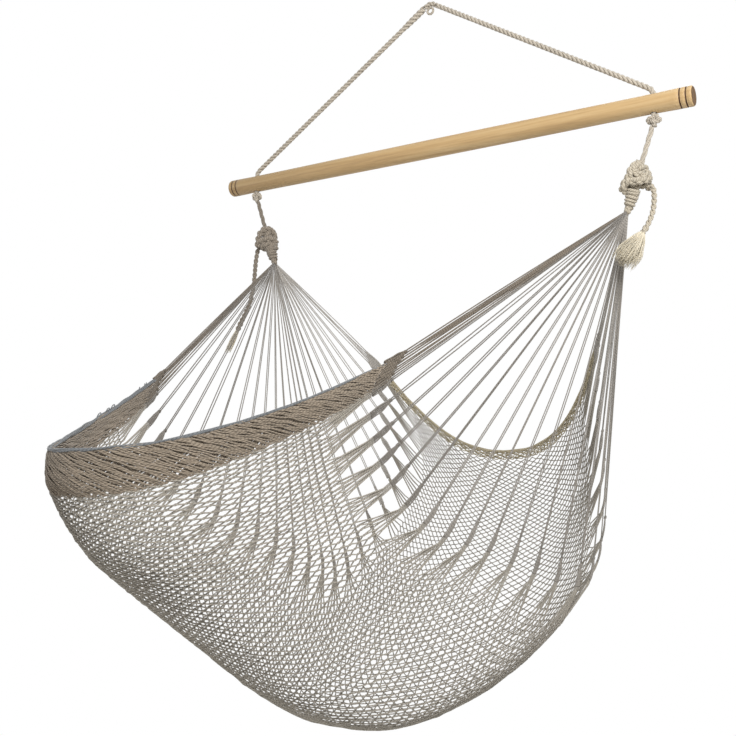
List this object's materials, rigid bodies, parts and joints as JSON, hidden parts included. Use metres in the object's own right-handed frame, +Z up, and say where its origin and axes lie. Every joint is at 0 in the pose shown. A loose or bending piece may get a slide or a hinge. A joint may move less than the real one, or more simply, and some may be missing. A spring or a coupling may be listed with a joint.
{
  "type": "hammock chair",
  "caption": "Net hammock chair: a cotton net seat hung by fans of arm strings and ropes from a wooden spreader bar and one hook.",
  "frame": {"origin": "middle of the hook wire that carries the chair, in the bore of the hook turn", "axes": "+Z up, +X along the spreader bar towards its right end, -Y towards the open front edge where the legs go"},
  "size_m": [1.018, 1.2465, 1.3514],
  "materials": {
    "bridle_rope": "matte",
    "arm_rope": "matte",
    "string_cotton": "matte",
    "net_cotton": "matte",
    "edge_cotton": "matte",
    "frayed_cotton": "matte",
    "bar_wood": "satin"
  },
  "bodies": {
    "hook": {"hook_turn": "bridle_rope"},
    "crown": {"bridle_crown": "bridle_rope"},
    "bar_frame": {"left_bridle_rope": "bridle_rope", "right_bridle_rope": "bridle_rope", "spreader_bar": "bar_wood", "left_stopper_knot": "bridle_rope", "right_stopper_knot": "bridle_rope"},
    "seat": {"left_drop_rope": "bridle_rope", "left_arm_knot": "arm_rope", "left_arm_neck": "arm_rope", "left_neck_whipping": "arm_rope", "left_front_strings": "string_cotton", "left_seat_strings": "string_cotton", "left_back_strings": "string_cotton", "left_spare_tail": "arm_rope", "left_tail_brush": "frayed_cotton", "right_drop_rope": "bridle_rope", "right_arm_knot": "arm_rope", "right_arm_neck": "arm_rope", "right_neck_whipping": "arm_rope", "right_front_strings": "string_cotton", "right_seat_strings": "string_cotton", "right_back_strings": "string_cotton", "right_spare_tail": "arm_rope", "right_tail_brush": "frayed_cotton", "front_edge_band": "edge_cotton", "net_bed": "net_cotton", "back_edge_band": "edge_cotton"}
  },
  "joints": [
    {"name": "chair_sway", "type": "hinge", "parent": "hook", "child": "crown", "pos_m": [0, 0, 0], "axis": [0, 1, 0], "range_deg": [-20, 20]},
    {"name": "chair_swing", "type": "hinge", "parent": "crown", "child": "bar_frame", "pos_m": [0, 0, 0], "axis": [1, 0, 0], "range_deg": [-35, 35]},
    {"name": "seat_swing", "type": "hinge", "parent": "bar_frame", "child": "seat", "pos_m": [0, 0, -0.3145], "axis": [1, 0, 0], "range_deg": [-35, 35]}
  ]
}
